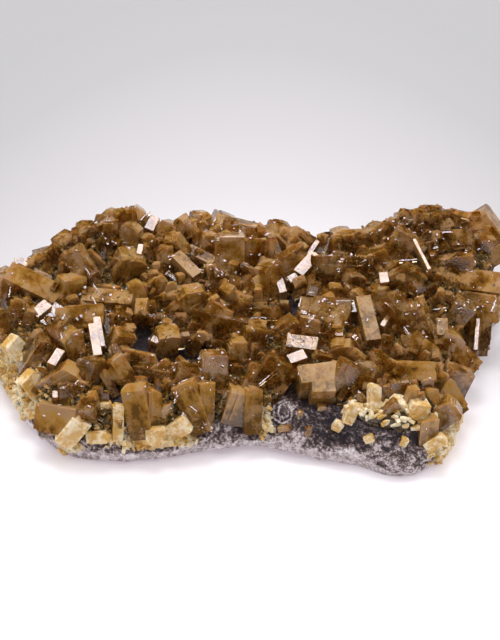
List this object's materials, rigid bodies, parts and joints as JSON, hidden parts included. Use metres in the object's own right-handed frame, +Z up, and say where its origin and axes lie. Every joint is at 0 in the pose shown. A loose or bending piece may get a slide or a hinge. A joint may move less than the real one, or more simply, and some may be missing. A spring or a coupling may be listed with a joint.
{
  "type": "barite crystal cluster",
  "caption": "Plate of dark rock under a crust of blocky, golden-brown barite crystals grown into one another, with small single crystals on the bare rock at its front",
  "frame": {"origin": "middle of the underside's plane, under the middle of the bounding box", "axes": "+X along the plate to its right end, +Y from the front with the bare rock to the back, +Z up out of the crystals"},
  "size_m": [0.2164, 0.1264, 0.0451],
  "materials": {
    "rock": "matt, rough broken rock with a pale rind",
    "golden_barite": "translucent, glassy crystal faces, some of them sugary",
    "cream_barite": "opaque, silky"
  },
  "bodies": {
    "root": {"rock_matrix": "rock", "barite_crystals": "golden_barite", "lone_crystal_golden_upper": "golden_barite", "lone_crystal_golden_disc_side": "golden_barite", "lone_crystal_golden_low_left": "golden_barite", "lone_crystal_golden_low_middle": "golden_barite", "lone_crystal_cream_middle": "cream_barite", "lone_crystal_cream_low_right": "cream_barite", "lone_crystal_cream_right": "cream_barite"}
  },
  "joints": []
}
